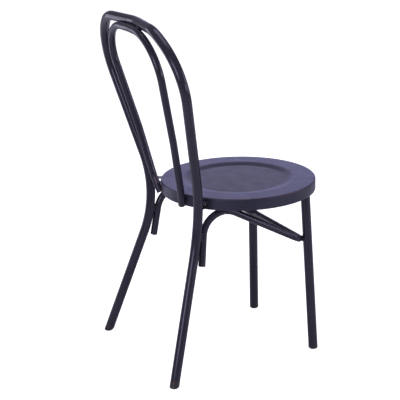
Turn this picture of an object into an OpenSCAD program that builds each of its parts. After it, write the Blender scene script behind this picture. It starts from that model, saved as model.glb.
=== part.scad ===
/* [Seat] */
// Diameter over the seat's skirt
seat_d = 416; // [400:1:430]
// Height of the seat's flat rim above the floor
seat_h = 463; // [440:1:490]
// Height of the skirt, from the rim down to its lower edge
skirt_h = 31; // [28:0.5:36]
// Thickness of the pressed sheet
sheet = 1.5; // [1.2:0.1:1.8]
// Radius of the rounded edge between rim and skirt
rim_r = 3.5; // [2.5:0.5:5]
// Diameter of the flat floor of the dish
dish_d = 250; // [220:5:270]
// Width of the sloping ring between the dish's floor and the rim
dish_slope = 30; // [22:1:36]
// Depth of the dish below the rim
dish_depth = 4.5; // [3:0.5:7]
// Height of the hem folded back inside the skirt
hem_h = 8; // [6:0.5:8.5]

/* [Back hoop] */
// Diameter of the back hoop's tube, which is also the front legs' tube
tube_d = 25; // [23:0.5:26]
// Wall of the back hoop's and front legs' tube
tube_wall = 1.2; // [1:0.1:2]
// Height of the hoop's top above the floor
hoop_h = 925; // [890:1:950]
// Distance from the chair's middle to a rear foot, sideways
rear_foot_x = 220; // [205:1:235]
// Distance from the seat's axis back to the rear feet
rear_foot_y = 306; // [290:1:320]
// Distance from the chair's middle to where a side and the top would meet, sideways
corner_x = 257; // [248:1:266]
// Distance from the seat's axis back to the hoop's shoulders
shoulder_y = 300; // [285:1:315]
// How far the middle of the top bar bows forward of the shoulders
top_bow = 15; // [8:0.5:20]
// Bend radius of the hoop's two upper corners
corner_bend = 143; // [130:1:150]
// Bend radius of the knees beside the seat
knee_bend = 312; // [280:2:330]
// Gap between the skirt and the point where the knee's straights would meet
knee_gap = 17.5; // [15:0.5:22]

/* [Inner hoop] */
// Diameter of the inner hoop's tube
inner_d = 19; // [17:0.5:21]
// Wall of the inner hoop's tube
inner_wall = 1.2; // [1:0.1:1.8]
// Distance from the chair's middle to where the inner hoop's side and top would meet
inner_corner_x = 166; // [156:1:174]
// Bend radius of the inner hoop's upper corners
inner_bend = 100; // [85:1:105]

/* [Front legs] */
// Distance from the chair's middle to a front foot, sideways
front_foot_x = 170; // [160:1:180]
// Distance from the seat's axis forward to the front feet
front_foot_y = 135.5; // [128:0.5:145]
// Diameter of the plate on top of each front leg
plate_d = 56; // [50:1:60]
// Thickness of the plate on top of each front leg
plate_t = 3; // [2:0.5:4]

/* [Brace] */
// Diameter of the brace's tube
brace_d = 19; // [17:0.5:20]
// Wall of the brace's tube
brace_wall = 1.2; // [1:0.1:1.8]
// Depth of the brace's cut lower ends below the seat's rim
brace_end_drop = 175.5; // [165:0.5:190]
// Depth of the bar that crosses behind the front legs, below the seat's rim
brace_bar_drop = 157; // [148:1:168]
// Depth below the seat's rim at which the straights of the brace's arch would meet
brace_peak_drop = 4; // [2:0.5:12]
// Bend radius of the brace's arches
arch_bend = 65; // [56:1:72]
// Bend radius of the brace's front corners
bar_bend = 45.5; // [40:0.5:50]

/* [Fittings] */
// Width of a hoop bracket along the skirt
bracket_w = 22; // [18:1:30]
// Height of a hoop bracket
bracket_h = 15.5; // [15:0.5:18]
// Thickness of a hoop bracket's sheet
bracket_t = 2; // [1.5:0.25:2.25]
// Depth of a hoop bracket's middle below the seat's rim
bracket_drop = 17; // [15:0.5:17.5]
// Thread diameter of the bolt through each hoop bracket
bolt_d = 6; // [5:0.5:6]
// Width of a brace hanger, along the brace
hanger_w = 22; // [18:1:26]
// Thickness of a brace hanger's strip
hanger_t = 3; // [2:0.5:4]
// Length of each glide between the tube's end and the floor, along the leg
glide_h = 12; // [9:0.5:15]

/* [Hidden] */
$fn = 64;

// Overrun of every cut past the face that it opens
over = 1;
// Gap left where two welded tubes lie side by side
kiss = 0.15;
// Each straight reaches this far into the bends at its ends, which are fuller in radius by a hair
lap = 0.5;
hair = 0.1;
// Clearance of a bolt in its hole, all round
bolt_play = 0.25;
// Clearance of a glide's plug in the leg's bore, all round
plug_play = 0.1;

seat_r = seat_d / 2;
tube_r = tube_d / 2;
inner_r = inner_d / 2;
brace_r = brace_d / 2;
rim_under = seat_h - sheet;
skirt_z = seat_h - skirt_h;
bracket_z = seat_h - bracket_drop;

// Directions around the seat's axis, measured from the chair's side
hoop_angle = 52.1;
inner_angle = 71.5;
leg_angle = 39.6;
brace_angle = 56.6;

// The hoop's side, from the floor to the middle of the top bar
knee_low_drop = 123.6;
knee_high_drop = 9.7;
knee_back = 13.4;
corner_z_share = 0.815;
corner_y_share = 0.92;
shoulder_x_share = 0.567;
shoulder_drop = 3;
shoulder_bend = 84;
top_bend = 270;
top_z = hoop_h - tube_r;
waist = polar(seat_r + knee_gap + tube_r, hoop_angle);
top_y = shoulder_y - top_bow;
hoop_side = [
    [rear_foot_x, rear_foot_y, 0],
    [waist[0], waist[1] + knee_back, seat_h - knee_low_drop],
    [waist[0], waist[1], seat_h - knee_high_drop],
    [corner_x, shoulder_y * corner_y_share, seat_h + (top_z - seat_h) * corner_z_share],
    [corner_x * shoulder_x_share, shoulder_y, top_z - shoulder_drop],
    [0, top_y, top_z]];
// How much of the short straight between two bends each of them may take
knee_shares = [0.38, 0.615];
corner_shares = [0.72, 0.25];
hoop_bends = [0,
    min(knee_bend, widest_bend(hoop_side, 1, 1, knee_shares[0])),
    min(knee_bend, widest_bend(hoop_side, 2, 1, knee_shares[1])),
    min(corner_bend, widest_bend(hoop_side, 3, 3, corner_shares[0])),
    min(shoulder_bend, widest_bend(hoop_side, 4, 3, corner_shares[1])),
    top_bend];

// The inner hoop's side, from the skirt to the middle of its top
inner_press = 6.6;
inner_end_up = 1;
inner_foot_out = 16.7;
inner_foot_back = 9.6;
inner_foot_up = 39;
inner_foot_bend = 120;
inner_side_bend = 455;
inner_top_bend = 456;
inner_side_share = 0.37;
inner_side_out = 42;
inner_side_back = 38.1;
inner_bow = 5.4;
inner_rise = 2.6;
// Where the inner hoop's top touches the back hoop's, as shares of the bow and of the reach between tubes
touch_bow_share = 0.412;
touch_shares = [0.665, 0.775];
touch_reach = tube_r + inner_r + kiss;
touch_y = top_y + top_bow * touch_bow_share + touch_reach * touch_shares[0];
touch_z = top_z - shoulder_drop * touch_bow_share - touch_reach * touch_shares[1];
inner_foot = polar(seat_r + inner_r - inner_press, inner_angle);
inner_side = [
    [inner_foot[0], inner_foot[1], skirt_z + inner_end_up],
    [inner_foot[0] + inner_foot_out, inner_foot[1] + inner_foot_back,
        skirt_z + inner_end_up + inner_foot_up],
    [inner_foot[0] + inner_side_out, inner_foot[1] + inner_side_back,
        skirt_z + (top_z - skirt_z) * inner_side_share],
    [inner_corner_x, touch_y + inner_bow * 2 / 3, touch_z - inner_rise / 5],
    [0, touch_y - inner_bow / 3, touch_z + inner_rise * 4 / 5]];
inner_bends = [0, inner_foot_bend, inner_side_bend, inner_bend, inner_top_bend];

// A front leg, from the floor to the underside of its plate
leg_ring = seat_r - 2 * sheet - tube_r - kiss * 2;
leg_head = polar(leg_ring, -leg_angle);
leg_foot = [front_foot_x, -front_foot_y, 0];
leg_slope = ([leg_head[0], leg_head[1], skirt_z] - leg_foot) / skirt_z;
leg_top_z = rim_under - plate_t;

// The brace's left half, from its lower end to the corner behind the front leg
brace_end_z = seat_h - brace_end_drop;
brace_bar_z = seat_h - brace_bar_drop;
brace_peak_z = seat_h - brace_peak_drop;
brace_end_shares = [0.24, -0.65];
corner_touch_shares = [-0.595, 0.807];
corner_bend_shares = [0.454, -0.2];
arch_gap = 7;
brace_reach = tube_r + brace_r;
brace_knee = hoop_side[1];
leg_at_bar = leg_foot + leg_slope * brace_bar_z;
arch = [waist[0], waist[1]] - polar(brace_reach + arch_gap, brace_angle);
brace_side = [
    [brace_knee[0] + brace_reach * brace_end_shares[0],
        brace_knee[1] + brace_reach * brace_end_shares[1], brace_end_z],
    [arch[0], arch[1], brace_peak_z],
    [leg_at_bar[0] + (brace_reach + kiss) * corner_touch_shares[0] + bar_bend * corner_bend_shares[0],
        leg_at_bar[1] + (brace_reach + kiss) * corner_touch_shares[1] + bar_bend * corner_bend_shares[1],
        brace_bar_z]];
brace_bends = [0, arch_bend, bar_bend];

// Middle of the hoop's bend beside the seat, how far short of it the brackets stop, and their half width there
hoop_mid = bend_middle(hoop_side, hoop_bends, 2);
saddle_share = 0.35;
horn_share = 0.4;

// Top of the arch, where its hanger stands, and the way the tube runs there
arch_top = bend_top(brace_side, brace_bends, 1);
arch_way = cross(bend_axis(brace_side, 1), bend_up(brace_side, 1));

// A glide's flat face on the floor, and its chamfer
glide_face_share = 0.76;
glide_flat = tube_r * glide_face_share;
plug_h = 18;
rear_way = heading(hoop_side, 0);
rear_slope = rear_way[1] / rear_way[2];
foot_reach = glide_flat + (tube_r * sqrt(1 + rear_slope * rear_slope) - glide_flat) / (1 - rear_slope);

// The origin is on the floor, under the middle of the chair's length
middle_y = (rear_foot_y + foot_reach - seat_r) / 2;

function polar(r, a) = [r * cos(a), r * sin(a)];
function unit(v) = v / norm(v);
function heading(p, i) = unit(p[i + 1] - p[i]);
function turn_at(p, i) = acos(min(1, heading(p, i - 1) * heading(p, i)));
function setback(p, b, i) = i == 0 || i == len(p) - 1 ? 0 : b[i] * tan(turn_at(p, i) / 2);
// The widest bend at corner i that takes no more than the share s of straight k
function widest_bend(p, i, k, s) = norm(p[k + 1] - p[k]) * s / tan(turn_at(p, i) / 2);
function upright(u) = abs(u[2]) < 0.9 ? [0, 0, 1] : [1, 0, 0];
function across(u) = unit(cross(upright(u), u));
// The side direction that a tube's skin keeps along the path p, on its straight i
function side_at(p, i) = i == 0 ? across(heading(p, 0)) : carried(side_at(p, i - 1), heading(p, i - 1), heading(p, i));
function carried(x, u, w) = x - (u + w) * (x * w) / (1 + u * w);
function flip(v) = [-v[0], v[1], v[2]];
function mirrored(p) = concat([for (q = p) flip(q)], [for (i = [len(p) - 1 : -1 : 0]) p[i]]);
function mirrored_top(p) = concat([for (q = p) flip(q)], [for (i = [len(p) - 2 : -1 : 0]) p[i]]);
function there_and_back(b) = concat(b, [for (i = [len(b) - 1 : -1 : 0]) b[i]]);
function over_the_top(b) = concat(b, [for (i = [len(b) - 2 : -1 : 0]) b[i]]);
function bend_middle(p, b, i) =
    let (u = heading(p, i - 1), w = heading(p, i), t = turn_at(p, i), way = unit(w - u))
    p[i] + way * b[i] * (1 / cos(t / 2) - 1);

// The highest point of a bend that rises and falls
function bend_axis(p, i) = unit(cross(heading(p, i - 1), heading(p, i)));
function bend_up(p, i) = let (n = bend_axis(p, i)) unit([0, 0, 1] - n * n[2]);
function bend_top(p, b, i) =
    let (u = heading(p, i - 1), inward = cross(bend_axis(p, i), u))
    p[i] - u * setback(p, b, i) + (inward + bend_up(p, i)) * b[i];

// A frame whose Z runs along u and whose X is across it, put at a
module aim(a, x, y, u) {
    multmatrix([
        [x[0], y[0], u[0], a[0]],
        [x[1], y[1], u[1], a[1]],
        [x[2], y[2], u[2], a[2]],
        [0, 0, 0, 1]])
        children();
}

module straight(a, u, h, r) {
    x = across(u);
    aim(a, x, cross(u, x), u) cylinder(h = h, r = r);
}

// A bend that starts at a along u and turns towards w, with the seam of its skin on the side x
module elbow(a, u, w, x, bend, r) {
    n = unit(cross(u, w));
    inward = cross(n, u);
    aim(a + bend * inward, -inward, u, n)
        rotate_extrude(angle = acos(u * w), $fn = 360)
            translate([bend, 0]) rotate(atan2(x * n, -x * inward)) circle(r = r, $fn = 48);
}

module elbow_at(p, b, i, r) {
    u = heading(p, i - 1);
    elbow(p[i] - u * setback(p, b, i), u, heading(p, i), side_at(p, i - 1), b[i], r);
}

// A round bar along the path p, bent at each corner to the radii b
module rod(p, b, r) {
    last = len(p) - 1;
    for (i = [0 : last - 1]) {
        u = heading(p, i);
        x = side_at(p, i);
        start = setback(p, b, i) - (i == 0 ? 0 : lap);
        end = norm(p[i + 1] - p[i]) - setback(p, b, i + 1) + (i == last - 1 ? 0 : lap);
        aim(p[i] + u * start, x, cross(u, x), u) cylinder(h = end - start, r = r);
    }
    for (i = [1 : last - 1]) elbow_at(p, b, i, r + hair);
}

// The same path with both ends moved outward, for a bore that opens there
function longer(p, by) = [for (i = [0 : len(p) - 1])
    i == 0 ? p[0] - heading(p, 0) * by :
    i == len(p) - 1 ? p[i] + heading(p, i - 1) * by : p[i]];

module tube(p, b, r, wall) {
    difference() {
        rod(p, b, r);
        rod(longer(p, over), b, r - wall);
    }
}

module place() {
    translate([0, -middle_y, 0]) children();
}

module on_side(left) {
    place() {
        if (left) children();
        else mirror([1, 0, 0]) children();
    }
}

// The S-shaped slope between the rim and the dish's floor, at height z
slope_steps = 14;
function s_curve(t) = t * t * (3 - 2 * t);
function slope_line(z) = [for (i = [0 : slope_steps])
    [dish_d / 2 + dish_slope * i / slope_steps, z - dish_depth * (1 - s_curve(i / slope_steps))]];

// A quarter round from the level side to the upright one, about c
arc_steps = 10;
function quarter(c, r) = [for (i = [0 : arc_steps])
    c + polar(r, 90 * (1 - i / arc_steps))];
function backwards(p) = [for (i = [len(p) - 1 : -1 : 0]) p[i]];

// All the space above the underside of the rim and the dish
module above_the_sheet() {
    rotate_extrude($fn = 180)
        polygon(concat(
            [[0, rim_under - dish_depth]], slope_line(rim_under),
            [[seat_r, rim_under], [seat_r, seat_h + tube_d], [0, seat_h + tube_d]]));
}

module seat_pan() {
    skirt_r = seat_r - sheet;
    hem_r = seat_r - 2 * sheet;
    rim_c = [seat_r - rim_r, seat_h - rim_r];
    color([0.29, 0.29, 0.38]) place() difference() {
        rotate_extrude($fn = 180)
            polygon(concat(
                [[0, seat_h - dish_depth]], slope_line(seat_h), quarter(rim_c, rim_r),
                [[seat_r, skirt_z + sheet / 2], [seat_r - sheet / 2, skirt_z],
                [hem_r + sheet / 2, skirt_z], [hem_r, skirt_z + sheet / 2],
                [hem_r, skirt_z + hem_h], [skirt_r, skirt_z + hem_h]],
                backwards(quarter(rim_c, rim_r - sheet)),
                backwards(slope_line(seat_h - sheet)),
                [[0, seat_h - dish_depth - sheet]]));
        for (s = [-1, 1])
            translate([0, 0, bracket_z]) rotate([0, 0, 90 + s * (90 - hoop_angle)])
                translate([seat_r - rim_r - over, 0, 0]) rotate([0, 90, 0])
                    cylinder(h = rim_r + 2 * over, r = bolt_d / 2 + bolt_play);
    }
}

module back_hoop() {
    start = glide_h * rear_way;
    path = concat([hoop_side[0] + start], [for (i = [1 : len(hoop_side) - 1]) hoop_side[i]]);
    color([0.16, 0.16, 0.21]) place()
        tube(mirrored_top(path), over_the_top(hoop_bends), tube_r, tube_wall);
}

module inner_hoop() {
    color([0.16, 0.16, 0.21]) place() difference() {
        tube(mirrored_top(inner_side), over_the_top(inner_bends), inner_r, inner_wall);
        cylinder(h = seat_h, r = seat_r + kiss, $fn = 360);
    }
}

module front_leg(left) {
    way = unit(leg_slope);
    reach = (leg_top_z + tube_r) / way[2];
    color([0.16, 0.16, 0.21]) on_side(left) difference() {
        straight(leg_foot + way * glide_h, way, reach - glide_h, tube_r);
        straight(leg_foot, way, reach + over, tube_r - tube_wall);
        translate([leg_foot[0], leg_foot[1], leg_top_z])
            translate([-plate_d, -plate_d, 0]) cube([2 * plate_d, 2 * plate_d, 2 * tube_d]);
    }
}

module leg_plate(left) {
    head = leg_foot + leg_slope * leg_top_z;
    color([0.16, 0.16, 0.21]) on_side(left) difference() {
        intersection() {
            translate([head[0], head[1], leg_top_z]) cylinder(h = plate_t + over, r = plate_d / 2);
            cylinder(h = seat_h, r = seat_r - rim_r - over, $fn = 360);
        }
        above_the_sheet();
    }
}

module leg_brace() {
    color([0.16, 0.16, 0.21]) place()
        tube(mirrored(brace_side), there_and_back(brace_bends), brace_r, brace_wall);
}

// An angle strip from the rim's underside down to the top of the brace's arch
module brace_hanger(left) {
    color([0.16, 0.16, 0.21]) on_side(left) difference() {
        translate([arch_top[0], arch_top[1], 0])
            rotate([0, 0, atan2(arch_way[1], arch_way[0]) + 90])
                union() {
                    translate([-hanger_t / 2, -hanger_w / 2, arch_top[2]])
                        cube([hanger_t, hanger_w, rim_under - arch_top[2] + over]);
                    translate([-hanger_w + hanger_t / 2, -hanger_w / 2, rim_under - hanger_t])
                        cube([hanger_w, hanger_w, hanger_t + over]);
                }
        above_the_sheet();
        elbow_at(brace_side, brace_bends, 1, brace_r + hair + kiss);
    }
}

// A channel on its side: its web lies on the skirt, its two flanges reach out to the leg
module hoop_bracket(left) {
    axis_reach = norm([hoop_mid[0], hoop_mid[1]]) - seat_r;
    reach = axis_reach - tube_r * saddle_share;
    horn = tube_r * horn_share;
    color([0.16, 0.16, 0.21]) on_side(left) difference() {
        translate([0, 0, bracket_z]) rotate([0, 0, hoop_angle]) difference() {
            translate([0, 0, -bracket_h / 2]) linear_extrude(height = bracket_h)
                polygon([
                    [seat_r - bracket_t, -bracket_w / 2], [seat_r + bracket_t, -bracket_w / 2],
                    [seat_r + reach, -horn], [seat_r + reach, horn],
                    [seat_r + bracket_t, bracket_w / 2], [seat_r - bracket_t, bracket_w / 2]]);
            translate([seat_r + bracket_t, -bracket_w, bracket_t - bracket_h / 2])
                cube([reach + over, 2 * bracket_w, bracket_h - 2 * bracket_t]);
            translate([seat_r - rim_r, 0, 0]) rotate([0, 90, 0])
                cylinder(h = 2 * rim_r + bracket_t, r = bolt_d / 2 + bolt_play);
        }
        cylinder(h = seat_h, r = seat_r + kiss, $fn = 360);
        elbow_at(hoop_side, hoop_bends, 2, tube_r + hair + kiss);
    }
}

module bracket_axis() {
    translate([0, 0, bracket_z]) rotate([0, 0, hoop_angle]) rotate([0, 90, 0]) children();
}

// Button-headed bolt from outside, through the bracket's web and the skirt
module bracket_bolt(left) {
    head_r = bolt_d * 0.85;
    head_h = bolt_d * 0.55;
    socket_r = bolt_d / 3;
    nut_h = bolt_d * 0.8;
    color([0.45, 0.40, 0.38]) on_side(left) bracket_axis() difference() {
        union() {
            translate([0, 0, seat_r - sheet - nut_h - over])
                cylinder(h = nut_h + sheet + over + bracket_t, r = bolt_d / 2);
            translate([0, 0, seat_r + bracket_t]) intersection() {
                cylinder(h = head_h, r = head_r);
                translate([0, 0, head_h - head_r * 1.4]) sphere(r = head_r * 1.4);
            }
        }
        translate([0, 0, seat_r + bracket_t + head_h / 2])
            cylinder(h = head_h, r = socket_r, $fn = 6);
    }
}

module bracket_nut(left) {
    color([0.45, 0.40, 0.38]) on_side(left) bracket_axis() difference() {
        translate([0, 0, seat_r - sheet - bolt_d * 0.8 - kiss]) rotate(30)
            cylinder(h = bolt_d * 0.8, r = bolt_d * 0.95, $fn = 6);
        translate([0, 0, seat_r - bolt_d * 2])
            cylinder(h = bolt_d * 2, r = bolt_d / 2 + kiss / 2);
    }
}

// A cap on the tube's end, cut level with the floor, with a plug up the bore
module glide(left, foot, way) {
    color([0.05, 0.05, 0.06]) on_side(left) {
        intersection() {
            straight(foot - way * tube_d, way, tube_d + glide_h, tube_r);
            translate(foot) cylinder(h = tube_d, r1 = glide_flat, r2 = glide_flat + tube_d);
        }
        straight(foot + way * (glide_h - over), way, plug_h + over, tube_r - tube_wall - plug_play);
    }
}

seat_pan();
back_hoop();
inner_hoop();
front_leg(true);  // front_leg_left
front_leg(false);  // front_leg_right
leg_plate(true);  // leg_plate_left
leg_plate(false);  // leg_plate_right
leg_brace();
brace_hanger(true);  // brace_hanger_left
brace_hanger(false);  // brace_hanger_right
hoop_bracket(true);  // hoop_bracket_left
hoop_bracket(false);  // hoop_bracket_right
bracket_bolt(true);  // bracket_bolt_left
bracket_bolt(false);  // bracket_bolt_right
bracket_nut(true);  // bracket_nut_left
bracket_nut(false);  // bracket_nut_right
glide(true, leg_foot, unit(leg_slope));  // glide_front_left
glide(false, leg_foot, unit(leg_slope));  // glide_front_right
glide(true, hoop_side[0], rear_way);  // glide_rear_left
glide(false, hoop_side[0], rear_way);  // glide_rear_right
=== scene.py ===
"""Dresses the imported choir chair: smooth bent tubes, a pressed seat, weld beads, paint, bolts and glides.

Lengths are metres in the row frame: floor at z = 0, the sitter faces -Y and +X is the sitter's left. Only
a TubeRun's corners and bends are millimetres.
"""
import logging
import math
from dataclasses import dataclass
from enum import Enum

import bpy
import numpy as np
from mathutils import Matrix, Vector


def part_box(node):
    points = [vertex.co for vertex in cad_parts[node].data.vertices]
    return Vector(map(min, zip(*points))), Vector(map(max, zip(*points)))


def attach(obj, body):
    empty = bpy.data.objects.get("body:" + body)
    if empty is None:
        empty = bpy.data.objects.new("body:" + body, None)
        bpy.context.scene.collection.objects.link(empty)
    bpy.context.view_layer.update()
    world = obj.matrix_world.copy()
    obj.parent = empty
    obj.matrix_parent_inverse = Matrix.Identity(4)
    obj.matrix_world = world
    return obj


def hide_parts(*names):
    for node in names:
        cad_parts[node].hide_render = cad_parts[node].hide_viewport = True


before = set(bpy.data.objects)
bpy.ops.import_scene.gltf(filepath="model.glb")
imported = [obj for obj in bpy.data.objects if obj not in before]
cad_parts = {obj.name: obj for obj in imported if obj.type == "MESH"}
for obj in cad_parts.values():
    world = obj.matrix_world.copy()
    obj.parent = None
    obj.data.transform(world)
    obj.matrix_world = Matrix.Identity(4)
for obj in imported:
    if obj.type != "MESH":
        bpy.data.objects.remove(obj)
LOG = logging.getLogger("choir_chair")
ROOT = "root"
MM = 0.001
# The seat's axis stands this far in front of the row frame's origin
SEAT_Y = -55.1186 * MM
SEAT_TOP = 463 * MM
SEAT_R = 208 * MM
# Middle height of the brackets and of their bolts
BRACKET_Z = 446 * MM
# Greatest distance and turn in degrees between samples on a bend
ARC_STEP = 4 * MM
ARC_DEG = 2.5
# The inner hoop's feet are cut back to this radius about the seat's axis
COPE_R = 208.15 * MM

# A point of the seat's axis and the way up
AXIS = np.array([0.0, SEAT_Y, 0.0])
UP = np.array([0.0, 0.0, 1.0])

Array = np.ndarray
Point = tuple[float, float, float]
Socket = bpy.types.NodeSocket
Material = bpy.types.Material
norm = np.linalg.norm


class Side(Enum):
    """The sitter's left or right, as the sign of X."""

    LEFT = 1
    RIGHT = -1


class Slot(Enum):
    """Two material slot names, frame and seat, which no piece here takes."""

    FRAME = "frame"
    SEAT = "seat"


def unit(v: Array) -> Array:
    """Scales vectors along the last axis to length one, each divided by its length."""
    return v / norm(v, axis=-1, keepdims=True)


def inward(p: Array) -> Array:
    """Level unit directions from points to the seat's axis."""
    return unit((p - AXIS) * [-1.0, -1.0, 0.0])


def circles(centre: Array, side: Array, up: Array, r: Array, count: int) -> Array:
    """Rings about a line: centre + r (cosine * side + sine * up).

    Args:
        centre: each ring's middle.
        side: each ring's first unit direction.
        up: each ring's second unit direction.
        r: each ring's radius.
        count: points round each ring.

    Returns:
        Positions shaped (rings, count, 3).
    """
    a = np.arange(count) * 2 * math.pi / count
    ring = np.cos(a)[None, :, None] * side[:, None] + np.sin(a)[None, :, None] * up[:, None]
    return centre[:, None] + r[:, None, None] * ring


def sections(r: object, z: object) -> Array:
    """Radius and height of a profile's points, either of which may be one number for all."""
    return np.stack(np.broadcast_arrays(r, z), axis=1)


def sided(name: str, side: Side) -> str:
    """The name of a piece on one side."""
    return f"{name}_{side.name.lower()}"


def link(name: str, data: bpy.types.ID) -> bpy.types.Object:
    """Makes an object and links it into the scene.

    Args:
        name: the object's name.
        data: its mesh, lamp or camera.

    Returns:
        The new object.
    """
    made = bpy.data.objects.new(name, data)
    bpy.context.scene.collection.objects.link(made)
    return made


def facing(place: Point, right: Array, up: Array, back: Array) -> Matrix:
    """The matrix of a camera or lamp that stands at place and looks away from back."""
    return Matrix.Translation(place) @ Matrix(np.column_stack([right, up, back]).tolist()).to_4x4()


# Node trees


class Nodes:
    """A short way to write the node tree of a material or a world."""

    def __init__(self, owner: bpy.types.ID) -> None:
        """Empties owner's node tree.

        Args:
            owner: a material or a world.
        """
        owner.use_nodes = True
        self.owner = owner
        self.tree = owner.node_tree
        self.tree.nodes.clear()

    def add(self, kind: str, inputs: dict | None = None, **settings: object) -> bpy.types.Node:
        """Adds a node, sets its own settings and links or sets its inputs.

        Args:
            kind: the node's type name, after ShaderNode.
            inputs: input name or number to a value, or to an output socket.
            **settings: attributes of the node itself.

        Returns:
            The new node.
        """
        node = self.tree.nodes.new("ShaderNode" + kind)
        for key, value in settings.items():
            setattr(node, key, value)
        for key, value in (inputs or {}).items():
            socket = node.inputs[key]
            if isinstance(value, Socket):
                self.tree.links.new(value, socket)
            else:
                socket.default_value = value
        return node

    def math(self, operation: str, a: object, b: object = 0.0, clamp: bool = False) -> Socket:
        """Adds a maths node and gives its output."""
        return self.add("Math", {0: a, 1: b}, operation=operation, use_clamp=clamp).outputs[0]

    def between(self, value: object, low: float, high: float, start: float = 0.0, end: float = 1.0,
                kind: str = "LINEAR") -> Socket:
        """Maps value from low at start to high at end."""
        inputs = {"Value": value, "From Min": start, "From Max": end, "To Min": low, "To Max": high}
        return self.add("MapRange", inputs, interpolation_type=kind).outputs["Result"]

    def ramp(self, value: object, low: float, high: float) -> Socket:
        """Maps value smoothly from 0 at low to 1 at high."""
        return self.between(value, 0.0, 1.0, low, high, "SMOOTHSTEP")

    def vector(self, operation: str, *values: object) -> bpy.types.Node:
        """Adds a vector maths node over values."""
        return self.add("VectorMath", dict(enumerate(values)), operation=operation)

    def noise(self, vector: object, scale: float, detail: float = 2.0, rough: float = 0.5) -> Socket:
        """Adds a noise texture over vector and gives its grey value."""
        return self.add("TexNoise", {"Vector": vector, "Scale": scale, "Detail": detail,
                "Roughness": rough}).outputs["Fac"]

    def blend(self, amount: object, first: object, second: object) -> Socket:
        """Blends from the first colour at amount 0 to the second at 1."""
        node = self.add("Mix", {0: amount, 6: first, 7: second}, data_type="RGBA", clamp_factor=True)
        return node.outputs[2]

    def surface(self, shader: bpy.types.Node) -> Material:
        """Ends the tree with shader and gives the material."""
        self.add("OutputMaterial", {"Surface": shader.outputs[0]})
        return self.owner


Colour = tuple[float, float, float, float]
BLACK: Colour = (0.0, 0.0, 0.0, 1.0)


@dataclass(frozen=True)
class PowderCoat:
    """Satin powder coat over steel, with faint orange peel, soft mottling and rubbed edges.

    Attributes:
        name: the material's name.
        deep: the coat's darker tint.
        light: the coat's lighter tint.
        bare: the rust-brown primer that shows where an edge is rubbed.
        rough_low: roughness of the smoothest patches.
        rough_high: roughness of the dullest patches.
        sheen: strength of the violet bloom that the coat shows at a low angle.
        dish: radius about the seat's axis inside which the coat is darker with less bloom, or none.
        wall: radius beyond which, on the skirt, the coat is painted a fifth darker as painted shade and its
            bloom is cut; it goes with dish.
        peel: height of the orange peel, in metres.
    """

    name: str
    deep: Colour
    light: Colour
    bare: Colour = (0.16, 0.062, 0.04, 1.0)
    rough_low: float = 0.15
    rough_high: float = 0.21
    sheen: float = 0.04
    dish: float = 0.0
    wall: float = 0.0
    peel: float = 0.000002

    def material(self) -> Material:
        """Builds the coat: mottling and peel follow Object coordinates, rubs follow the wear attribute.

        Returns:
            The finished material.
        """
        n = Nodes(bpy.data.materials.new(self.name))
        place = n.add("TexCoord").outputs["Object"]
        clouds = n.ramp(n.noise(place, 14.0, 3.0), 0.35, 0.68)
        grain = n.noise(place, 620.0, 2.0)
        coat = n.blend(clouds, self.deep, self.light)
        speck = n.math("MULTIPLY", n.ramp(grain, 0.56, 0.74), 0.16)
        coat = n.blend(speck, coat, tuple(min(1.0, c * 1.7) for c in self.light[:3]) + (1.0,))
        bloom: object = self.sheen
        if self.dish:
            flat = n.vector("ADD", place, (0.0, -SEAT_Y, 0.0)).outputs[0]
            flat = n.vector("MULTIPLY", flat, (1.0, 1.0, 0.0)).outputs[0]
            away = n.vector("LENGTH", flat).outputs["Value"]
            edge = n.ramp(away, self.dish, self.dish + 0.022)
            coat = n.blend(edge, n.blend(0.50, coat, BLACK), coat)
            bloom = n.between(edge, self.sheen * 0.45, self.sheen)
            # Painted shade on the skirt: beyond wall the coat is darkened by a fifth and its bloom is cut.
            side = n.ramp(away, self.wall - 0.0025, self.wall)
            bloom = n.math("MULTIPLY", bloom, n.math("SUBTRACT", 1.0, n.math("MULTIPLY", side, 0.60)))
            coat = n.blend(n.math("MULTIPLY", side, 0.20), coat, BLACK)
        worn = n.add("Attribute", attribute_name="wear").outputs["Fac"]
        patch = n.ramp(n.noise(place, 95.0, 4.0, 0.65), 0.40, 0.62)
        rub = n.math("MULTIPLY", worn, patch, True)
        colour = n.blend(rub, coat, self.bare)
        dull = n.between(n.noise(place, 33.0, 4.0, 0.6), self.rough_low, self.rough_high, 0.3, 0.7)
        fine = n.add("Bump", {"Height": grain, "Distance": self.peel * 0.5, "Strength": 0.35})
        peel = n.add("Bump", {"Height": n.noise(place, 210.0, 1.0), "Distance": self.peel * 2.0,
                "Strength": 0.45, "Normal": fine.outputs[0]})
        return n.surface(n.add("BsdfPrincipled", {
            "Base Color": colour, "Roughness": dull, "Normal": peel.outputs[0], "IOR": 1.5,
            "Specular IOR Level": 0.36, "Specular Tint": (0.80, 0.78, 1.0, 1.0),
            "Sheen Weight": bloom, "Sheen Roughness": 0.35, "Sheen Tint": (0.50, 0.48, 1.0, 1.0)}))


@dataclass(frozen=True)
class DullZinc:
    """Zinc plate gone brown and dull, for the bolts and nuts.

    Attributes:
        name: the material's name.
        bright: the clean zinc's colour.
        stained: the colour of the stains.
    """

    name: str = "dull_zinc"
    bright: Colour = (0.46, 0.42, 0.40, 1.0)
    stained: Colour = (0.22, 0.15, 0.12, 1.0)

    def material(self) -> Material:
        """Builds the zinc with stains by noise over Object coordinates.

        Returns:
            The finished material.
        """
        n = Nodes(bpy.data.materials.new(self.name))
        place = n.add("TexCoord").outputs["Object"]
        stain = n.ramp(n.noise(place, 380.0, 3.0), 0.42, 0.60)
        scratch = n.noise(place, 1600.0, 2.0)
        dull = n.between(scratch, 0.48, 0.66)
        bump = n.add("Bump", {"Height": scratch, "Distance": 0.00003, "Strength": 0.5})
        return n.surface(n.add("BsdfPrincipled", {
            "Base Color": n.blend(stain, self.bright, self.stained), "Metallic": 0.85, "Roughness": dull,
            "Normal": bump.outputs[0]}))


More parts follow.
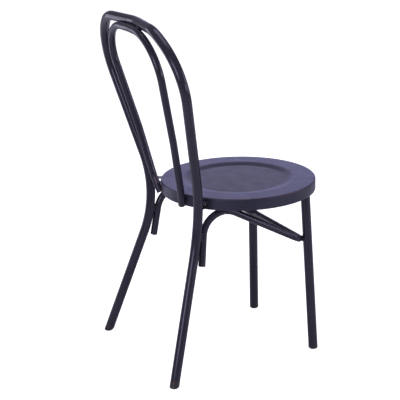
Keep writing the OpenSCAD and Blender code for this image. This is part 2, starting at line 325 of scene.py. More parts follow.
@dataclass(frozen=True)
class MouldedPlastic:
    """Black moulded plastic with a fine grain and scuffs near the floor.

    Attributes:
        name: the material's name.
        colour: the clean plastic.
        scuffed: the greyer colour of the scuffs.
    """

    name: str = "moulded_plastic"
    colour: Colour = (0.012, 0.012, 0.015, 1.0)
    scuffed: Colour = (0.05, 0.05, 0.055, 1.0)

    def material(self) -> Material:
        """Builds the plastic, scuffed by noise where it is low on the object.

        Returns:
            The finished material.
        """
        n = Nodes(bpy.data.materials.new(self.name))
        place = n.add("TexCoord").outputs["Object"]
        height = n.add("SeparateXYZ", {0: place}).outputs["Z"]
        low = n.ramp(n.math("MULTIPLY", height, -1.0), -0.006, -0.001)
        scuff = n.math("MULTIPLY", low, n.ramp(n.noise(place, 420.0, 3.0), 0.45, 0.65), True)
        grain = n.noise(place, 2400.0, 1.0)
        bump = n.add("Bump", {"Height": grain, "Distance": 0.00002, "Strength": 0.5})
        dull = n.between(scuff, 0.42, 0.62)
        return n.surface(n.add("BsdfPrincipled", {
            "Base Color": n.blend(scuff, self.colour, self.scuffed), "Roughness": dull,
            "Normal": bump.outputs[0]}))


class Finishes:
    """The chair's finishes, each built once."""

    def __init__(self) -> None:
        """Builds the materials."""
        self.tube = PowderCoat(
            "tube_powder_coat", (0.019, 0.0177, 0.0255, 1.0), (0.024, 0.0223, 0.0320, 1.0)).material()
        self.seat = PowderCoat("seat_powder_coat", (0.026, 0.0250, 0.0410, 1.0), (0.032, 0.0310, 0.0510, 1.0),
            rough_low=0.34, rough_high=0.42, sheen=0.45, dish=0.130, wall=0.2078, peel=0.00002).material()
        # Painted light: the brackets get a lighter copy of the frame's coat for the light that their plates
        # catch.
        self.bracket = PowderCoat(
            "bracket_powder_coat", (0.034, 0.0320, 0.0440, 1.0), (0.044, 0.0410, 0.0550, 1.0),
            rough_low=0.26, rough_high=0.34).material()
        self.zinc = DullZinc().material()
        self.plastic = MouldedPlastic().material()


# Surfaces on grids


@dataclass
class Surface:
    """A closed mesh made of a grid of rings, each ring closed on itself.

    Attributes:
        rings: positions, shaped (rings, points round, 3).
        wear: how rubbed each ring or point is, from 0 to 1, shaped like rings without its last axis.
    """

    rings: Array
    wear: Array

    def mesh(self, name: str) -> bpy.types.Mesh:
        """Joins neighbouring rings with quads, closes both ends with a fan and points the faces outward.

        Args:
            name: the mesh's name.

        Returns:
            The mesh, shaded smooth, with the wear attribute on its points.
        """
        count, round_ = self.rings.shape[:2]
        points = self.rings.reshape(-1, 3)
        verts = np.concatenate([points, self.rings[[0, -1]].mean(axis=1)])
        i = np.arange(count - 1)[:, None] * round_
        j = np.arange(round_)
        k = (j + 1) % round_
        quads = np.stack([i + j, i + k, i + round_ + k, i + round_ + j], axis=-1).reshape(-1, 4)
        first, base = j * 0 + len(points), (count - 1) * round_
        caps = np.concatenate([np.stack([first, k, j], axis=-1),
                np.stack([first + 1, base + j, base + k], axis=-1)])
        if self.volume(verts, quads) < 0:
            quads, caps = quads[:, ::-1], caps[:, ::-1]
        mesh = bpy.data.meshes.new(name)
        mesh.vertices.add(len(verts))
        mesh.vertices.foreach_set("co", verts.astype(np.float32).ravel())
        corners = np.concatenate([quads.ravel(), caps.ravel()]).astype(np.int32)
        sizes = np.concatenate([np.full(len(quads), 4), np.full(len(caps), 3)])
        mesh.loops.add(len(corners))
        mesh.loops.foreach_set("vertex_index", corners)
        mesh.polygons.add(len(sizes))
        mesh.polygons.foreach_set("loop_start", (np.cumsum(sizes) - sizes).astype(np.int32))
        mesh.polygons.foreach_set("use_smooth", np.ones(len(sizes), dtype=bool))
        mesh.update(calc_edges=True)
        mesh.validate()
        layer = mesh.attributes.new("wear", "FLOAT", "POINT")
        wear = np.broadcast_to(self.wear, self.rings.shape[:2]).ravel()
        layer.data.foreach_set("value", np.concatenate([wear, [wear[0], wear[-1]]]).astype(np.float32))
        return mesh

    @staticmethod
    def volume(verts: Array, quads: Array) -> float:
        """Signed volume under the quads, positive if they turn outward: a sixth of the triple products."""
        a, b, c, d = (verts[quads[:, n]] for n in range(4))
        return float((np.cross(a, b) * c).sum() + (np.cross(a, c) * d).sum()) / 6


def put(name: str, surface: Surface, material: Material, sharp_deg: float) -> bpy.types.Object:
    """Puts a surface into the scene as a piece on the chair's body.

    Args:
        name: the piece's name.
        surface: its shape.
        material: its finish.
        sharp_deg: edges that turn more than this stay sharp.

    Returns:
        The new object.
    """
    mesh = surface.mesh(name)
    mesh.materials.append(material)
    piece = link(name, mesh)
    mesh.set_sharp_from_angle(angle=math.radians(sharp_deg))
    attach(piece, ROOT)
    LOG.info("%s: %d points", name, len(mesh.vertices))
    return piece


# Bent tubes


@dataclass(frozen=True)
class TubeRun:
    """A tube's centre line: straights that meet at corners, each rounded by an arc.

    Attributes:
        corners: the points where the straights meet, in millimetres from the seat's axis and the floor.
        bends: the arc's radius at each corner, in millimetres, with none at the ends.
        lift: a direction that the tube never runs along, which fixes how its rings are turned.
    """

    corners: tuple[Point, ...]
    bends: tuple[float, ...]
    lift: Point = (0.0, 1.0, 0.0)

    def whole(self, loop: bool) -> "TubeRun":
        """Adds the mirrored half.

        Args:
            loop: True if the last corner is itself mirrored, False if it lies in the middle plane.

        Returns:
            The run from the right end to the left end.
        """
        last = -1 if loop else -2
        here = tuple((-x, y, z) for x, y, z in self.corners)
        return TubeRun(here + self.corners[last::-1], self.bends + self.bends[last::-1], self.lift)

    def line(self) -> tuple[Array, Array]:
        """Samples the centre line.

        Each arc is start + radius (sine * tangent + (1 - cosine) * inward normal) of the turned angle.

        Returns:
            Points and unit tangents.
        """
        p = np.array(self.corners) * MM + AXIS
        way = unit(np.diff(p, axis=0))
        points, tangents = [p[:1]], [way[:1]]
        for i in range(1, len(p) - 1):
            u, w, radius = way[i - 1], way[i], self.bends[i] * MM
            turn = math.acos(np.clip(u @ w, -1, 1))
            normal = unit(w - u * (u @ w))
            start = p[i] - u * radius * math.tan(turn / 2)
            count = max(6, math.ceil(turn * radius / ARC_STEP), math.ceil(math.degrees(turn) / ARC_DEG))
            a = np.linspace(0, turn, count + 1)[:, None]
            points.append(start + radius * (np.sin(a) * u + (1 - np.cos(a)) * normal))
            tangents.append(np.cos(a) * u + np.sin(a) * normal)
        points.append(p[-1:])
        tangents.append(way[-1:])
        return np.concatenate(points), np.concatenate(tangents)

    def at(self, s: Array) -> tuple[Array, Array]:
        """Looks up the centre line by arc length.

        Args:
            s: arc lengths from the first end.

        Returns:
            Points and unit tangents.
        """
        points, tangents = self.line()
        far = np.concatenate([[0], np.cumsum(norm(np.diff(points, axis=0), axis=1))])
        centre = np.stack([np.interp(s, far, points[:, k]) for k in range(3)], axis=1)
        way = unit(np.stack([np.interp(s, far, tangents[:, k]) for k in range(3)], axis=1))
        return centre, way

    def length(self) -> float:
        """The centre line's length in metres."""
        points, _ = self.line()
        return float(norm(np.diff(points, axis=0), axis=1).sum())

    def left_half(self) -> tuple[Array, Array]:
        """Samples the line every half millimetre where it is on the +X side.

        Returns:
            Points and unit tangents.
        """
        s = np.arange(0, self.length(), 0.0005)
        centre, way = self.at(s)
        keep = centre[:, 0] > 0.01
        return centre[keep], way[keep]


@dataclass
class Tube:
    """A bent tube with open ends, a wall and a lightly broken lip.

    Attributes:
        name: the piece's name.
        run: its centre line.
        radius: outer radius.
        nodes: the CAD nodes that it stands for.
        wall: wall thickness.
        trim: how far each end stops short of the run's ends.
        wear_reach: how far the rubbing at the lips reaches along the tube.
        deep: how far the bore can be looked into.
        round_: points round each ring.
        cope: radius about the seat's axis that the tube's ends are cut back to, or none.
    """

    name: str
    run: TubeRun
    radius: float
    nodes: tuple[str, ...]
    wall: float = 1.2 * MM
    trim: float = 0.0
    wear_reach: float = 0.0035
    deep: float = 0.06
    round_: int = 64
    cope: float = 0.0

    def along(self) -> tuple[Array, Array, Array]:
        """Stations from inside one bore, out over the lip, along the skin and in at the other end.

        Returns:
            Arc length, radius and wear at each station.
        """
        a, b = self.trim, self.run.length() - self.trim
        bore, lip = self.radius - self.wall, 0.0004
        skin = np.arange(a + 0.002, b - 0.002, 0.006)
        s = np.concatenate([[a + self.deep, a + 0.0006, a, a, a + lip * 0.3, a + lip], skin,
                [b - lip, b - lip * 0.3, b, b, b - 0.0006, b - self.deep]])
        head = [bore, bore, bore + 0.0003, self.radius - lip, self.radius - 0.0001, self.radius]
        r = np.concatenate([head, np.full(len(skin), self.radius), head[::-1]])
        wear = np.clip(1 - np.minimum(np.abs(s - a), np.abs(b - s)) / self.wear_reach, 0, 1)
        wear[[0, -1]] = 0
        return s, r, wear

    def rings(self, s: Array, r: Array) -> Array:
        """Carries a circle of radius r along the centre line: centre + r (cosine * side + sine * up).

        Points that a cope cuts off move straight out from the seat's axis until they are clear of it.

        Args:
            s: arc length at each ring.
            r: radius at each ring.

        Returns:
            Positions shaped (rings, points round, 3).
        """
        centre, way = self.run.at(s)
        side = unit(np.cross(self.run.lift, way))
        up = np.cross(way, side)
        p = circles(centre, side, up, r, self.round_)
        if self.cope:
            flat = p[..., :2] - AXIS[:2]
            away = norm(flat, axis=-1)
            least = self.cope + (self.radius - r)[:, None] * 0.9
            grow = np.where(p[..., 2] < SEAT_TOP, np.maximum(away, least) / away, 1.0)
            p[..., :2] = flat * grow[..., None] + AXIS[:2]
        return p

    def build(self, material: Material) -> None:
        """Builds the tube and hides the CAD nodes that it stands for.

        Args:
            material: its finish.
        """
        s, r, wear = self.along()
        piece = put(self.name, Surface(self.rings(s, r), wear[:, None]), material, 60.0)
        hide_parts(*self.nodes)


@dataclass
class SteelFrame:
    """The tubes. Only the bent ones are built here; the front legs keep their CAD shape.

    Attributes:
        tube_r: outer radius of the back hoop and the front legs.
        inner_r: outer radius of the inner hoop.
        brace_r: outer radius of the brace.
        glide_h: length of each glide below a tube's end.
        hoop: half of the back hoop, from a foot to the middle of its top.
        inner: the same half of the inner hoop.
        brace: half of the brace, from its rear end over the arch to the front bar's corner.
        leg: the left front leg.
    """

    tube_r: float = 12.5 * MM
    inner_r: float = 9.5 * MM
    brace_r: float = 9.5 * MM
    glide_h: float = 12.0 * MM
    hoop: TubeRun = TubeRun(((220, 306, 0), (146.2, 201.202, 339.379), (146.2, 187.802, 453.277),
            (257, 276, 829.34), (145.72, 300, 909.5), (0, 285, 912.5)), (0, 312, 312, 143, 84, 270))
    inner: TubeRun = TubeRun(((66.92, 200.0, 433), (83.62, 209.6, 472), (108.92, 238.1, 609.785),
            (166, 309.51, 893.58), (0, 304.11, 896.18)), (0, 120, 455, 100, 456))
    brace: TubeRun = TubeRun(((151.48, 186.9, 287.5), (130.24, 163.59, 459), (161.96, -117.53, 306)),
            (0, 65, 45.5))
    leg: TubeRun = TubeRun(((170, -135.5, 0), (146.75, -121.72, 458.5)), (0, 0))

    def build(self, finishes: Finishes) -> None:
        """Builds the three bent tubes.

        Args:
            finishes: the chair's finishes.
        """
        hoop, inner, brace = self.hoop.whole(False), self.inner.whole(False), self.brace.whole(True)
        for tube in (Tube("hoop_tube", hoop, self.tube_r, ("back_hoop",), trim=self.glide_h),
                     Tube("inner_hoop_tube", inner, self.inner_r, ("inner_hoop",), cope=COPE_R),
                     Tube("brace_tube", brace, self.brace_r, ("leg_brace",))):
            tube.build(finishes.tube)


# Weld beads


@dataclass(frozen=True)
class Bead:
    """A laid weld bead: a rippled sausage with tapered ends along a path.

    Attributes:
        name: the piece's name, without its side.
        path: points along the bead, on the +X side or across the middle.
        radius: the bead's radius.
        ripple: how deep the ripples are, as a share of the radius.
        pitch: distance from ripple to ripple.
        worn: how rubbed the bead is.
        sides: the sides that it is laid on, or one side for a bead in the middle plane.
    """

    name: str
    path: Array
    radius: float
    ripple: float = 0.10
    pitch: float = 0.0016
    worn: float = 0.25
    sides: tuple[Side, ...] = (Side.LEFT, Side.RIGHT)

    def surface(self, side: Side) -> Surface:
        """Sweeps a circle along the path, with the stations closest together at the tips.

        The radius is the bead's own, times the square root of t * (2 - t) for t from 0 at a tip to 1 at 1.6
        radii from it, times one plus the ripple's share of a cosine of the length.

        Args:
            side: LEFT keeps the path, RIGHT mirrors it.

        Returns:
            The closed surface.
        """
        p = self.path * [side.value, 1, 1]
        far = np.concatenate([[0], np.cumsum(norm(np.diff(p, axis=0), axis=1))])
        count = max(24, int(far[-1] / 0.0004))
        t = (1 - np.cos(np.linspace(0.02, math.pi - 0.02, count))) / 2
        s = t * far[-1]
        centre = np.stack([np.interp(s, far, p[:, k]) for k in range(3)], axis=1)
        way = unit(np.gradient(centre, axis=0))
        spare = UP if abs(way[:, 2]).mean() < 0.7 else [0.0, 1.0, 0.0]
        across = unit(np.cross(spare, way))
        over = np.cross(way, across)
        taper = np.clip(np.minimum(s, far[-1] - s) / (self.radius * 1.6), 0, 1)
        wave = 1 + self.ripple * np.cos(2 * math.pi * s / self.pitch)
        r = self.radius * np.sqrt(taper * (2 - taper)) * wave
        return Surface(circles(centre, across, over, r, 20), np.full((count, 1), self.worn))

    def build(self, finishes: Finishes) -> None:
        """Lays the bead on each of its sides.

        Args:
            finishes: the chair's finishes.
        """
        for side in self.sides:
            name = f"weld_{self.name}"
            put(sided(name, side) if len(self.sides) > 1 else name, self.surface(side), finishes.tube,
                60.0)


@dataclass(frozen=True)
class Contact:
    """Where two tubes come closest on the +X side.

    Attributes:
        a: point of the first tube's centre line.
        along_a: its tangent there.
        ra: its radius.
        b: point of the second tube's centre line.
        along_b: its tangent there.
        rb: its radius.
    """

    a: Array
    along_a: Array
    ra: float
    b: Array
    along_b: Array
    rb: float

    @classmethod
    def between(cls, first: TubeRun, ra: float, second: TubeRun, rb: float) -> "Contact":
        """Finds the closest pair of points of two centre lines.

        Args:
            first: the first tube's whole run.
            ra: its radius.
            second: the second tube's whole run.
            rb: its radius.

        Returns:
            The contact.
        """
        pa, ta = first.left_half()
        pb, tb = second.left_half()
        far = norm(pa[:, None] - pb[None], axis=-1)
        i, j = np.unravel_index(far.argmin(), far.shape)
        return cls(pa[i], ta[i], ra, pb[j], tb[j] * np.sign(ta[i] @ tb[j]), rb)

    def groove(self, side: int, length: float, radius: float, sunk: float = 0.0011) -> Array:
        """The path of a bead in the groove beside two tubes that run nearly the same way.

        At each point the bead's centre is a corner of the triangle whose other corners are the two centre
        lines, with sides that are each tube's radius plus the bead's, less how far the bead is sunk.

        Args:
            side: 1 or -1, the groove on one side or the other.
            length: the bead's length.
            radius: the bead's radius.
            sunk: how far the bead sinks into each tube.

        Returns:
            Points along the bead.
        """
        s = np.linspace(-length / 2, length / 2, 30)[:, None]
        a, b = self.a + s * self.along_a, self.b + s * self.along_b
        gap = norm(b - a, axis=1, keepdims=True)
        n = (b - a) / gap
        g = unit(np.cross(self.along_a, n)) * side
        near, far = self.ra + radius - sunk, self.rb + radius - sunk
        x = (near ** 2 - far ** 2 + gap ** 2) / (2 * gap)
        return a + x * n + np.sqrt(np.maximum(near ** 2 - x ** 2, 0)) * g

    def ring(self, reach: float) -> Array:
        """The path of a bead round the spot where two tubes cross.

        The path is a circle about the contact in the plane between the tubes, lifted halfway between their
        two surfaces, which fall away by half the squared reach times the curvature that way.

        Args:
            reach: the circle's radius.

        Returns:
            Points along the bead, a little more than once round.
        """
        n = unit(self.b - self.a)
        middle = self.a + n * (self.ra + (norm(self.b - self.a) - self.ra - self.rb) / 2)
        u = unit(self.along_a - n * (self.along_a @ n))
        v = np.cross(n, u)
        angle = np.linspace(0, 2.06 * math.pi, 90)[:, None]
        e = np.cos(angle) * u + np.sin(angle) * v
        bend_a = (1 - (e @ self.along_a) ** 2) / self.ra
        bend_b = (1 - (e @ self.along_b) ** 2) / self.rb
        return middle + reach * e + ((bend_b - bend_a) * reach ** 2 / 4)[:, None] * n


@dataclass
class Welds:
    """All the frame's weld beads.

    Attributes:
        tubes: the tubes that they join.
        bracket_z: middle height of the brackets.
        bracket_h: height of the brackets.
        hanger_w: width of the strips on the brace's arch.
        hanger_t: thickness of those strips.
        proud: how far the middle of a thin bead stands off a tube's skin.
        clear: how far it stands off the face beside the tube.
    """

    tubes: SteelFrame
    bracket_z: float = BRACKET_Z
    bracket_h: float = 15.5 * MM
    hanger_w: float = 22 * MM
    hanger_t: float = 3 * MM
    proud: float = 0.0003
    clear: float = 0.0006

    def beads(self) -> list[Bead]:
        """Works out every bead from the tubes' centre lines.

        Returns:
            The beads, with their paths on the +X side or across the middle.
        """
        f = self.tubes
        hoop, inner, brace = f.hoop.whole(False), f.inner.whole(False), f.brace.whole(True)
        top = Contact.between(hoop, f.tube_r, inner, f.inner_r)
        rear = Contact.between(hoop, f.tube_r, brace, f.brace_r)
        front = Contact.between(f.leg, f.tube_r, brace, f.brace_r)
        out = [Bead("hoops_middle", self.crown(hoop, inner), 0.0024, sides=(Side.LEFT,)),
               Bead("hoops_front", top.groove(1, 0.016, 0.0022), 0.0022),
               Bead("hoops_back", top.groove(-1, 0.016, 0.0022), 0.0022),
               Bead("brace_rear_outer", rear.groove(1, 0.024, 0.0024), 0.0024),
               Bead("brace_rear_inner", rear.groove(-1, 0.024, 0.0024), 0.0024),
               Bead("brace_front", front.ring(0.0060), 0.0020),
               Bead("inner_foot", self.foot(inner), 0.0015, worn=0.9)]
        for name, sign in (("bracket_over", 1), ("bracket_under", -1)):
            out.append(Bead(name, self.saddle(hoop, sign), 0.0014))
        for name, sign in (("hanger_outer", 1), ("hanger_inner", -1)):
            out.append(Bead(name, self.fin(brace, sign), 0.0012, worn=0.5))
        out.append(Bead("leg_plate", self.collar(), 0.0013))
        return out

    def crown(self, hoop: TubeRun, inner: TubeRun) -> Array:
        """A line that fills the narrow gap between the two hoops' tops, halfway between their surfaces.

        Args:
            hoop: the back hoop's whole run.
            inner: the inner hoop's whole run.

        Returns:
            Points along the bead.
        """
        x = np.linspace(-0.048, 0.048, 60)
        rows = []
        for run in (hoop, inner):
            centre, _ = run.at(np.linspace(0.3, 0.7, 1200) * run.length())
            order = np.argsort(centre[:, 0])
            level = [np.interp(x, centre[order, 0], centre[order, k]) for k in (1, 2)]
            rows.append(np.stack([x] + level, axis=1))
        gap = norm(rows[1] - rows[0], axis=1, keepdims=True)
        n = (rows[1] - rows[0]) / gap
        return rows[0] + n * (self.tubes.tube_r + (gap - self.tubes.tube_r - self.tubes.inner_r) / 2)

    def foot(self, inner: TubeRun) -> Array:
        """Follows the line where the inner hoop's foot meets the skirt: up one side, over and down the other.

        Args:
            inner: the inner hoop's whole run.

        Returns:
            Points along the bead.
        """
        centre, way = inner.left_half()
        order = np.argsort(centre[:, 2])[:(centre[:, 2] < SEAT_TOP).sum()]
        centre, way = centre[order], way[order]
        near = inward(centre)
        near = unit(near - way * (near * way).sum(axis=1, keepdims=True))
        beside = np.cross(way, near)
        swing = np.linspace(0, math.pi / 2, 181)
        ring = np.cos(swing)[None, :, None] * near[:, None] + np.sin(swing)[None, :, None] * beside[:, None]
        spot = centre[:, None] + self.tubes.inner_r * ring
        away = norm(spot[..., :2] - AXIS[:2], axis=-1)
        touching = away[:, 0] < COPE_R
        first = (away > COPE_R).argmax(axis=1)[touching]
        centre, near, beside = centre[touching], near[touching], beside[touching]
        turn = swing[first]
        turn[-1] = 0.0
        lift = self.tubes.inner_r + 0.0004
        c, s = np.cos(turn)[:, None] * near, np.sin(turn)[:, None] * beside
        loop = np.concatenate([centre + lift * (c + s), (centre + lift * (c - s))[::-1]])
        rows = [np.convolve(np.pad(loop[:, k], 4, mode="edge"), np.ones(9) / 9, "valid") for k in range(3)]
        return np.stack(rows, axis=1)

    def saddle(self, hoop: TubeRun, sign: int) -> Array:
        """A short arc round the hoop's leg, where a bracket's flange meets it.

        Args:
            hoop: the back hoop's whole run.
            sign: 1 above the bracket, -1 below it.

        Returns:
            Points along the bead.
        """
        level = self.bracket_z + sign * (self.bracket_h / 2 + self.clear)
        centre, _ = hoop.left_half()
        c = centre[np.abs(centre[:, 2] - level).argmin()]
        near = inward(c)
        beside = np.array([-near[1], near[0], 0.0])
        a = np.radians(np.linspace(-33, 33, 30))[:, None]
        return c + (self.tubes.tube_r + self.proud) * (np.cos(a) * near + np.sin(a) * beside)

    def fin(self, brace: TubeRun, sign: int) -> Array:
        """A line along the brace's arch beside the strip that stands on it.

        Args:
            brace: the brace's whole run.
            sign: 1 or -1, the strip's one side or the other.

        Returns:
            Points along the bead.
        """
        centre, way = brace.left_half()
        rear = centre[:, 1] > SEAT_Y + 0.05
        centre, way = centre[rear], way[rear]
        peak = centre[:, 2].argmax()
        near = norm(centre - centre[peak], axis=1) < self.hanger_w / 2
        centre, way = centre[near], way[near]
        across = unit(np.cross(way, UP)) * sign
        over = unit(np.cross(across, way))
        over *= np.sign(over[:, 2:3])
        tilt = math.asin((self.hanger_t / 2 + self.clear) / self.tubes.brace_r)
        return centre + (self.tubes.brace_r + self.proud) * (math.cos(tilt) * over + math.sin(tilt) * across)

    def collar(self) -> Array:
        """A ring round the front leg's top, under its plate.

        Returns:
            Points along the bead.
        """
        low, high = np.array(self.tubes.leg.corners) * MM + AXIS
        top = float(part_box("leg_plate_left")[0][2]) - self.clear
        c = low + (high - low) * (top - low[2]) / (high[2] - low[2])
        a = np.linspace(0, 2.04 * math.pi, 90)[:, None]
        r = self.tubes.tube_r + self.proud
        return c + r * (np.cos(a) * [1.0, 0, 0] + np.sin(a) * [0, 1.0, 0])

    def build(self, finishes: Finishes) -> None:
        """Lays every bead."""
        for bead in self.beads():
            bead.build(finishes)


# Seat


@dataclass
class SeatPan:
    """The pressed round seat: a dish, a flat rim, a turned-down skirt and a folded hem.

    Attributes:
        radius: outer radius of the skirt.
        top: height of the flat rim.
        skirt: height of the skirt.
        sheet: thickness of the sheet.
        edge: radius of the rounded edge.
        dish_r: radius of the dish's flat floor.
        slope: width of the sloping ring.
        depth: depth of the dish.
        hem: height of the folded hem.
        bolt_deg: the left bolt's direction about the seat's axis, in degrees from +X.
        bolt_z: height of the bolts.
        hole_r: radius of the bolts' holes.
        worn_deg: the direction about the seat's axis where the edge is rubbed most, in degrees.
        worn_span: how far to each side the rubbing reaches, in degrees.
        round_: points round the seat.
    """

    radius: float = SEAT_R
    top: float = SEAT_TOP
    skirt: float = 31 * MM
    sheet: float = 1.5 * MM
    edge: float = 3.5 * MM
    dish_r: float = 125 * MM
    slope: float = 30 * MM
    depth: float = 4.5 * MM
    hem: float = 8 * MM
    bolt_deg: float = 52.1
    bolt_z: float = BRACKET_Z
    hole_r: float = 3.25 * MM
    worn_deg: float = 172.0
    worn_span: float = 42.0
    round_: int = 320

    def face(self, drop: float) -> Array:
        """The profile of the top face: a flat floor, then a smooth step t*t*(3-2t) up to the rim.

        Args:
            drop: how far the face lies below the top face, which gives the underside's profile.

        Returns:
            Radius and height of each point, from the middle outward.
        """
        t = np.linspace(0, 1, 40)
        high = self.top - drop
        step = sections(self.dish_r + self.slope * t, high - self.depth * (1 - t * t * (3 - 2 * t)))
        floor = sections(np.linspace(0.0005, self.dish_r, 26)[:-1], high - self.depth)
        rim = sections(np.linspace(self.dish_r + self.slope, self.radius - self.edge, 12)[1:-1], high)
        return np.concatenate([floor, step, rim])

    def corner(self, drop: float) -> Array:
        """The profile of the rounded edge: a quarter circle of radius edge less drop.

        Args:
            drop: how far the line lies inside the outer face.

        Returns:
            Radius and height of each point, from the rim to the skirt.
        """
        a = np.linspace(math.pi / 2, 0, 12)
        r = self.edge - drop
        return sections(self.radius - self.edge + r * np.cos(a), self.top - self.edge + r * np.sin(a))

    def profile(self) -> Array:
        """The whole closed profile, from the top's middle over the edge, round the hem and back under.

        Returns:
            Radius and height of each point.
        """
        low = self.top - self.skirt
        a = np.linspace(0, -math.pi, 11)
        hem = sections(self.radius - self.sheet + self.sheet * np.cos(a),
                low + self.sheet + self.sheet * np.sin(a))
        wall = sections(self.radius, np.linspace(self.top - self.edge, low + self.sheet, 7)[1:-1])
        fold = np.array([[self.radius - 2 * self.sheet, low + self.hem - 0.0004],
                [self.radius - 1.9 * self.sheet, low + self.hem],
                [self.radius - 1.02 * self.sheet, low + self.hem]])
        return np.concatenate([self.face(0.0), self.corner(0.0), wall, hem, fold,
                self.corner(self.sheet)[::-1], self.face(self.sheet)[::-1]])

    def surface(self) -> Surface:
        """Turns the profile round the seat's axis, with a slight wave in the sheet inside the rounded edge.

        The wave is the sine of twice the angle, and grows with the squared radius over the dish's floor.

        Returns:
            The closed surface; wear is highest on the rounded edge and on the hem's lowest line.
        """
        p = self.profile()
        angle = np.arange(self.round_) * 2 * math.pi / self.round_
        r, z = p[:, :1], p[:, 1:]
        swell = np.clip(r / self.dish_r, 0, 1) ** 2 * (r < self.radius - self.edge)
        wave = 0.00008 * np.sin(2 * angle + 0.6)[None] * swell
        rings = np.stack([r * np.cos(angle), r * np.sin(angle) + SEAT_Y, z + wave], axis=-1)
        far = np.hypot(p[:, 0] - (self.radius - self.edge * 0.35), p[:, 1] - (self.top - self.edge * 0.35))
        rim = np.clip(1 - far / 0.0020, 0, 1)
        hem = np.clip(1 - np.abs(p[:, 1] - (self.top - self.skirt)) / 0.0012, 0, 1)
        worn = np.clip(1 - np.abs(np.degrees(angle) - self.worn_deg) / self.worn_span, 0, 1)
        rubbed = np.clip(worn * 3, 0, 1) * 0.45 + 0.20
        return Surface(rings, np.maximum(rim[:, None] * rubbed[None], hem[:, None] * 0.5))

    def cutter(self, side: Side) -> Surface:
        """The space of one bolt hole: a circle carried along the bolt's axis through the skirt.

        Args:
            side: the bolt's side.

        Returns:
            The closed surface to cut away.
        """
        a = math.radians(self.bolt_deg)
        out = np.array([side.value * math.cos(a), math.sin(a), 0.0])
        across = np.array([-out[1], out[0], 0.0])
        reach = np.array([self.radius - 3 * self.sheet, self.radius + self.sheet])
        middle = AXIS + self.bolt_z * UP + reach[:, None] * out
        rings = circles(middle, across[None], UP[None], np.full(2, self.hole_r), 48)
        return Surface(rings, np.zeros((2, 1)))

    def drill(self, piece: bpy.types.Object) -> None:
        """Cuts the two bolt holes through the skirt and keeps the result as the seat's mesh.

        Args:
            piece: the seat, still whole.
        """
        tools = []
        for side in Side:
            name = sided("bolt_hole", side)
            tool = link(name, self.cutter(side).mesh(name))
            hole = piece.modifiers.new(name, "BOOLEAN")
            hole.object, hole.operation, hole.solver = tool, "DIFFERENCE", "EXACT"
            tools.append(tool)
        graph = bpy.context.evaluated_depsgraph_get()
        whole = piece.data
        piece.data = bpy.data.meshes.new_from_object(piece.evaluated_get(graph), depsgraph=graph,
                preserve_all_data_layers=True)
        piece.modifiers.clear()
        for tool in tools:
            bpy.data.meshes.remove(tool.data)
        bpy.data.meshes.remove(whole)
        piece.data.name = piece.name

    def build(self, finishes: Finishes) -> None:
        """Builds the seat in place of its CAD node.

        Args:
            finishes: the chair's finishes.
        """
        piece = put("pressed_seat", self.surface(), finishes.seat, 50.0)
        self.drill(piece)
        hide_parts("seat_pan")


@dataclass
class Fittings:
    """The CAD nodes that keep their own shape and only get a finish.

    Attributes:
        painted: nodes in the frame's coat, each without its side.
        brackets: nodes in the brackets' coat, a lighter copy of the frame's coat that is painted light.
        zinc: nodes in zinc.
        plastic: nodes in plastic.
    """

    painted: tuple[str, ...] = ("leg_plate", "brace_hanger", "front_leg")
    brackets: tuple[str, ...] = ("hoop_bracket",)
    zinc: tuple[str, ...] = ("bracket_bolt", "bracket_nut")
    plastic: tuple[str, ...] = ("glide_front", "glide_rear")

    def dress(self, finishes: Finishes) -> None:
        """Gives each node its finish.

        Args:
            finishes: the chair's finishes.
        """
        for names, material in ((self.painted, finishes.tube), (self.brackets, finishes.bracket),
                (self.zinc, finishes.zinc), (self.plastic, finishes.plastic)):
            for name in (sided(stem, side) for stem in names for side in Side):
                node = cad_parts[name]
                for slot in node.material_slots:
                    slot.material = material
                if not node.material_slots:
                    node.data.materials.append(material)
                LOG.info("%s dressed in %s", name, material.name)


# Studio


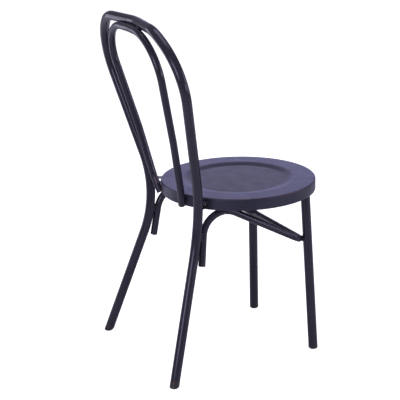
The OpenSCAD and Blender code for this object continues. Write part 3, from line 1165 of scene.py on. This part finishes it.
@dataclass(frozen=True)
class Studio:
    """The floor, the lights and the camera of the photograph.

    Attributes:
        eye: the camera's place in the row frame.
        azimuth: the side that it looks from, in degrees.
        elevation: its height above the horizon, in degrees.
        roll: its turn about its own axis, in degrees.
        lens: focal length for a 36 mm frame, in millimetres.
        lift: how much whiter the floor looks to the camera than it is lit.
        room: light from the camera's side.
        backdrop: light from the far side.
        tint: the light's colour.
        near: radius of the floor's inner disc.
        far: radius of the floor.
        count: points round the floor.
    """

    eye: Point = (-3.1012, 1.5507, 1.4808)
    azimuth: float = 244.33
    elevation: float = 17.21
    roll: float = -1.26
    lens: float = 121.44
    lift: float = 0.85
    room: float = 0.34
    backdrop: float = 0.26
    tint: Colour = (0.955, 0.945, 1.12, 1.0)
    near: float = 0.7
    far: float = 9.0
    count: int = 96

    def camera(self) -> None:
        """Sets the camera up at the photograph's place, turned by azimuth, elevation and roll."""
        a, e, k = (math.radians(v) for v in (self.azimuth, self.elevation, self.roll))
        back = np.array([math.sin(a) * math.cos(e), -math.cos(a) * math.cos(e), math.sin(e)])
        level = unit(np.cross(-back, UP))
        over = np.cross(level, -back)
        right = math.cos(k) * level + math.sin(k) * over
        up = -math.sin(k) * level + math.cos(k) * over
        data = bpy.data.cameras.new("photo_camera")
        data.lens = self.lens
        data.sensor_width = 36.0
        data.sensor_fit = "HORIZONTAL"
        data.clip_end = 100.0
        camera = link("photo_camera", data)
        camera.matrix_world = facing(self.eye, right, up, back)
        bpy.context.scene.camera = camera

    def floor(self) -> None:
        """Lays a plain white floor that keeps a faint shadow of the chair."""
        n = Nodes(bpy.data.materials.new("studio_floor"))
        path = n.add("LightPath").outputs["Is Camera Ray"]
        plain = n.add("BsdfDiffuse", {"Color": (0.86, 0.86, 0.86, 1.0)})
        lift = n.add("Emission", {"Color": (1.0, 1.0, 1.0, 1.0),
                "Strength": n.math("MULTIPLY", path, self.lift)})
        both = n.add("AddShader", {0: plain.outputs[0], 1: lift.outputs[0]})
        material = n.surface(both)
        j = np.arange(self.count)
        k = (j + 1) % self.count
        angle = j * 2 * math.pi / self.count
        ring = np.stack([np.cos(angle), np.sin(angle), j * 0], axis=1)
        verts = np.concatenate([[[0, 0, 0]], ring * self.near, ring * self.far])
        mesh = bpy.data.meshes.new("studio_floor")
        inner = np.stack([j * 0, 1 + j, 1 + k], axis=1).tolist()
        beyond = 1 + self.count
        outer = np.stack([1 + j, beyond + j, beyond + k, 1 + k], axis=1).tolist()
        mesh.from_pydata(verts.tolist(), [], inner + outer)
        mesh.materials.append(material)
        floor = link("studio_floor", mesh)

    def lamp(self, name: str, place: Point, aim: Point, size: tuple[float, float], power: float,
             colour: Point | None = None) -> None:
        """Hangs a soft rectangular lamp.

        Args:
            name: the lamp's name.
            place: where it hangs.
            aim: the point that it faces.
            size: its width and height.
            power: its power in watts.
            colour: its own colour, or none for the room's tint.
        """
        data = bpy.data.lights.new(name, "AREA")
        data.shape = "RECTANGLE"
        data.size, data.size_y = size
        data.energy = power
        data.color = colour or self.tint[:3]
        back = unit(np.array(place) - np.array(aim))
        right = unit(np.cross(UP, back))
        link(name, data).matrix_world = facing(place, right, np.cross(back, right), back)

    def world(self) -> None:
        """Surrounds the chair with light, from the room on the camera's side and the backdrop beyond.

        The level follows the dot product of a ray's direction with the camera's, level with the floor.
        The camera itself, and clear surfaces, see the plain white backdrop.
        """
        world = bpy.data.worlds.new("studio_world")
        n = Nodes(world)
        path = n.add("LightPath")
        seen = n.math("MAXIMUM", path.outputs["Is Camera Ray"], path.outputs["Is Transmission Ray"])
        ray = n.add("TexCoord").outputs["Generated"]
        a = math.radians(self.azimuth)
        away = n.vector("DOT_PRODUCT", ray, (-math.sin(a), math.cos(a), 0.0))
        level = n.between(away.outputs["Value"], self.room, self.backdrop, -0.9, 0.6, "SMOOTHSTEP")
        colour = n.blend(seen, self.tint, (1.0, 1.0, 1.0, 1.0))
        strength = n.add("Mix", {0: seen, 2: level, 3: 1.0}, data_type="FLOAT").outputs[0]
        light = n.add("Background", {"Color": colour, "Strength": strength})
        n.add("OutputWorld", {"Surface": light.outputs[0]})
        bpy.context.scene.world = world

    def build(self) -> None:
        """Sets up the floor, the world, the lamps and the camera."""
        self.floor()
        self.world()
        self.lamp("left_panel", (-1.05, 1.70, 0.90), (0.0, 0.0, 0.85), (0.9, 0.8), 11.0)
        self.lamp("right_panel", (-1.0, -2.0, 1.0), (0.0, 0.0, 0.8), (0.9, 1.2), 10.0)
        self.lamp("back_panel", (1.6, 1.15, 0.6), (0.0, 0.0, 0.7), (0.6, 1.2), 5.0)
        self.lamp("far_lamp", (2.6, -1.25, 1.1), (0.0, 0.0, 0.46), (2.2, 0.6), 4.4, (0.86, 0.84, 1.30))
        self.lamp("arm_lamp", (-2.6, -1.3, 0.6), (0.0, 0.0, 0.35), (0.5, 0.4), 8.0)
        self.lamp("top_lamp", (0.0, 0.0, 3.0), (0.0, 0.01, 0.5), (1.8, 1.8), 26.0)
        self.camera()
        bpy.context.scene.view_settings.view_transform = "Standard"


def main() -> None:
    """Builds the chair's pieces in order."""
    logging.basicConfig(level=logging.INFO, format="%(name)s %(message)s")
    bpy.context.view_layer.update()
    finishes = Finishes()
    Studio().build()
    tubes = SteelFrame()
    tubes.build(finishes)
    Welds(tubes).build(finishes)
    SeatPan().build(finishes)
    Fittings().dress(finishes)


if __name__ == "__main__":
    main()
